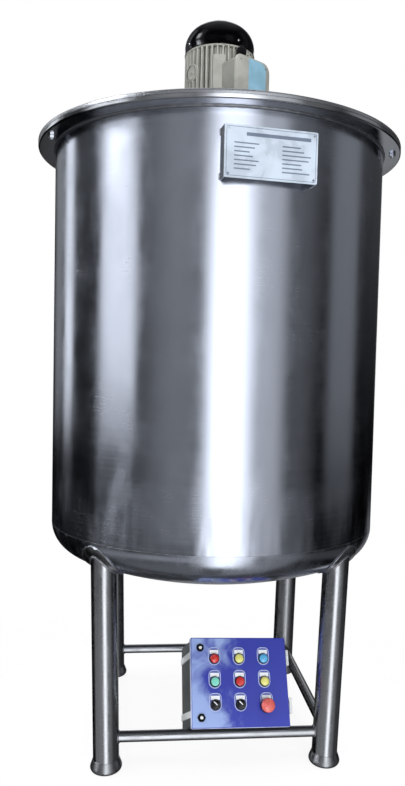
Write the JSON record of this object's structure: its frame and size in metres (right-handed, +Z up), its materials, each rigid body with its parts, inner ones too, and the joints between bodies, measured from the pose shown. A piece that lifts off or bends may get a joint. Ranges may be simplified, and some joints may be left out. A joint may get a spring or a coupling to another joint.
{
  "type": "stainless steel mixing tank",
  "caption": "Closed upright stainless steel mixing tank on braced tubular legs, with a dished bottom, a flanged flat lid, a top motor and a small leaning control box with a hinged door.",
  "frame": {"origin": "on the floor, in the middle of the four feet, on the tank's axis", "axes": "+Z up along the tank's axis; -Y is the front, where the control box is; +X is to the right seen from the front"},
  "size_m": [1.156, 1.156, 2.29],
  "materials": {
    "brushed_steel": "brushed stainless sheet and tube",
    "polished_steel": "polished stainless",
    "case_steel": "satin stainless sheet",
    "motor_paint": "satin cream-grey paint on cast aluminium",
    "cover_paint": "gloss black paint on pressed sheet",
    "cast_paint": "grey paint on a casting",
    "plate_finish": "pale satin plate, bare",
    "door_paint": "gloss royal blue",
    "black_plastic": "satin black",
    "red_plastic": "gloss",
    "green_plastic": "gloss",
    "yellow_plastic": "gloss",
    "blue_plastic": "gloss"
  },
  "bodies": {
    "tank": {"shell": "brushed_steel", "bottom_head": "brushed_steel", "top_flange": "polished_steel", "lid": "polished_steel", "leg_front_left": "brushed_steel", "leg_front_right": "brushed_steel", "leg_rear_left": "brushed_steel", "leg_rear_right": "brushed_steel", "leg_pad_front_left": "brushed_steel", "leg_pad_front_right": "brushed_steel", "leg_pad_rear_left": "brushed_steel", "leg_pad_rear_right": "brushed_steel", "foot_front_left": "brushed_steel", "foot_front_right": "brushed_steel", "foot_rear_left": "brushed_steel", "foot_rear_right": "brushed_steel", "brace_front": "brushed_steel", "brace_rear": "brushed_steel", "brace_left": "brushed_steel", "brace_right": "brushed_steel", "motor_pedestal": "cast_paint", "motor_end_shield": "motor_paint", "motor_body": "motor_paint", "fan_cover": "cover_paint", "terminal_box": "motor_paint", "terminal_box_lid": "motor_paint", "name_plate": "plate_finish", "name_plate_tray": "brushed_steel", "panel_cradle": "brushed_steel", "panel_case": "case_steel", "hinge_lower": "polished_steel", "hinge_upper": "polished_steel"},
    "door": {"panel_door": "door_paint", "door_lock_lower": "black_plastic", "door_lock_upper": "black_plastic", "lamp_red": "red_plastic", "lamp_yellow": "yellow_plastic", "lamp_blue": "blue_plastic", "lamp_trip": "yellow_plastic", "start_button_base": "black_plastic", "stop_button_base": "black_plastic", "selector_left_base": "black_plastic", "selector_right_base": "black_plastic", "emergency_stop_base": "black_plastic"},
    "start_button": {"start_button_cap": "green_plastic"},
    "stop_button": {"stop_button_cap": "red_plastic"},
    "selector_left": {"selector_left_knob": "black_plastic"},
    "selector_right": {"selector_right_knob": "black_plastic"},
    "emergency_stop": {"emergency_stop_head": "red_plastic"}
  },
  "joints": [
    {"name": "door_hinge", "type": "hinge", "parent": "tank", "child": "door", "pos_m": [0.21826, -0.28929, 0.2338], "axis": [0, 0.5, 0.866], "range_deg": [0, 110]},
    {"name": "start_button_press", "type": "slide", "parent": "door", "child": "start_button", "axis": [-0.1028, 0.8614, -0.4974], "range_m": [0, 0.003], "stiffness_N_per_m": 400, "springref_m": -0.003},
    {"name": "stop_button_press", "type": "slide", "parent": "door", "child": "stop_button", "axis": [-0.1028, 0.8614, -0.4974], "range_m": [0, 0.003], "stiffness_N_per_m": 400, "springref_m": -0.003},
    {"name": "selector_left_turn", "type": "hinge", "parent": "door", "child": "selector_left", "pos_m": [-0.01029, -0.34943, 0.19497], "axis": [-0.1028, 0.8614, -0.4974], "range_deg": [0, 90]},
    {"name": "selector_right_turn", "type": "hinge", "parent": "door", "child": "selector_right", "pos_m": [0.0654, -0.34265, 0.19106], "axis": [-0.1028, 0.8614, -0.4974], "range_deg": [0, 90]},
    {"name": "emergency_stop_press", "type": "slide", "parent": "door", "child": "emergency_stop", "axis": [-0.1028, 0.8614, -0.4974], "range_m": [0, 0.004]}
  ]
}
